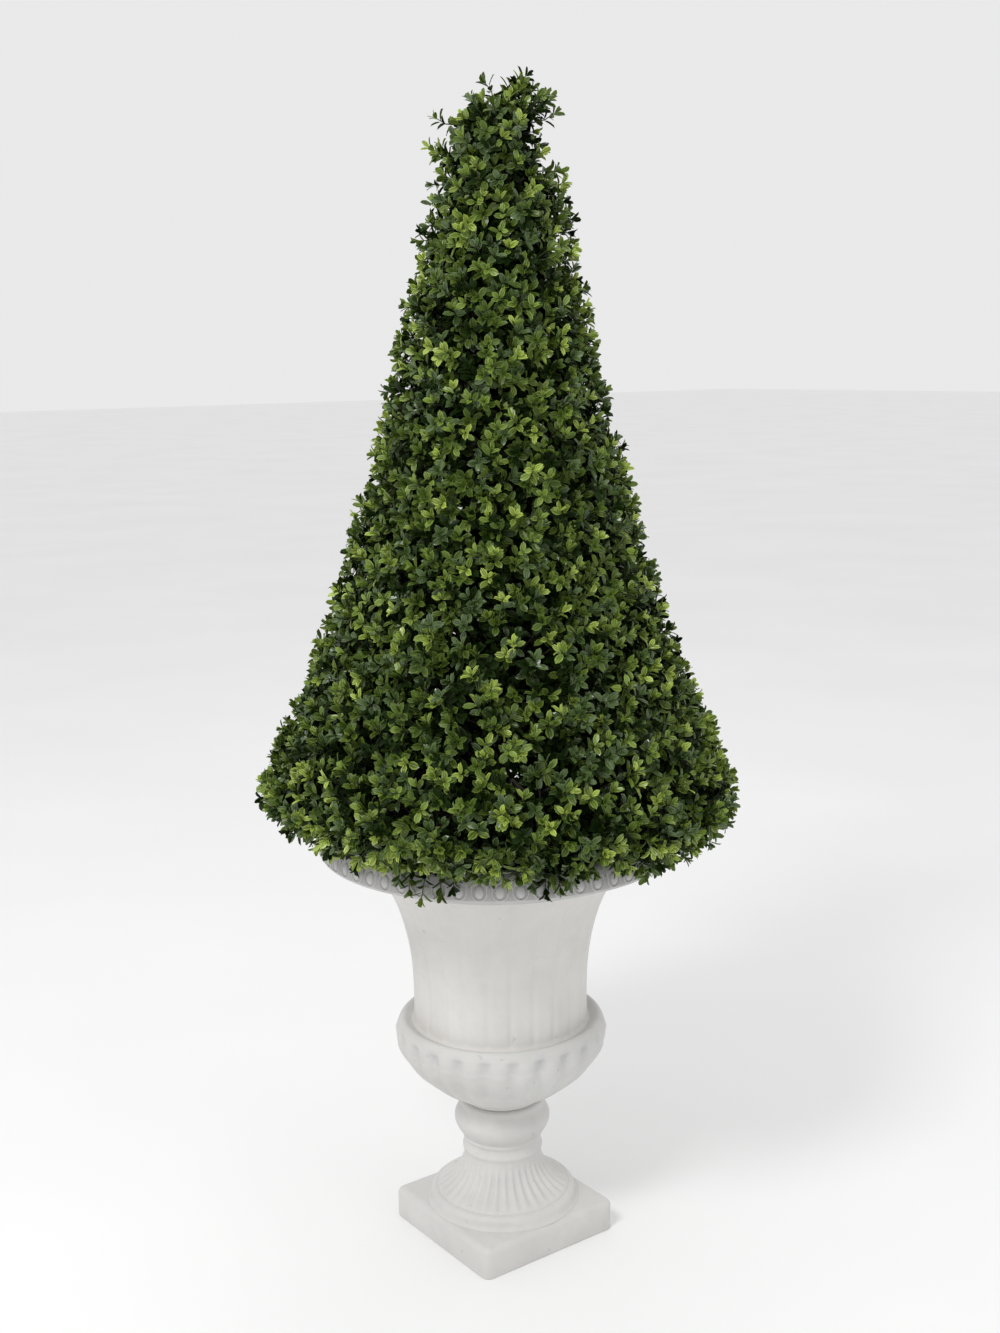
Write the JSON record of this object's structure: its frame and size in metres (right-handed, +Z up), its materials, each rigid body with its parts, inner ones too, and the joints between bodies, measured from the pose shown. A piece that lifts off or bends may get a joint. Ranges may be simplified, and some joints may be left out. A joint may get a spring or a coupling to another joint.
{
  "type": "artificial boxwood cone topiary in urn",
  "caption": "Artificial clipped boxwood cone with a flared skirt on a hidden stem, standing in a white footed campana urn with rolled lip, gadrooned bowl and square plinth.",
  "frame": {"origin": "centre of the plinth's flat underside", "axes": "+Z up from the plinth to the crown's top, +X and +Y along the plinth's sides"},
  "size_m": [0.5106, 0.5012, 1.22],
  "materials": {
    "urn": "white matt cast resin and stone powder",
    "filling": "rough dark foam with moss",
    "stem": "dull brown bark",
    "foliage": "satin moulded leaves"
  },
  "bodies": {
    "root": {"urn_plinth": "urn", "urn_foot": "urn", "urn_bowl": "urn", "urn_bell": "urn", "urn_lip": "urn", "potting_filling": "filling", "stem": "stem", "foliage_skirt": "foliage", "foliage_lower": "foliage", "foliage_middle": "foliage", "foliage_upper": "foliage", "foliage_top": "foliage"}
  },
  "joints": []
}
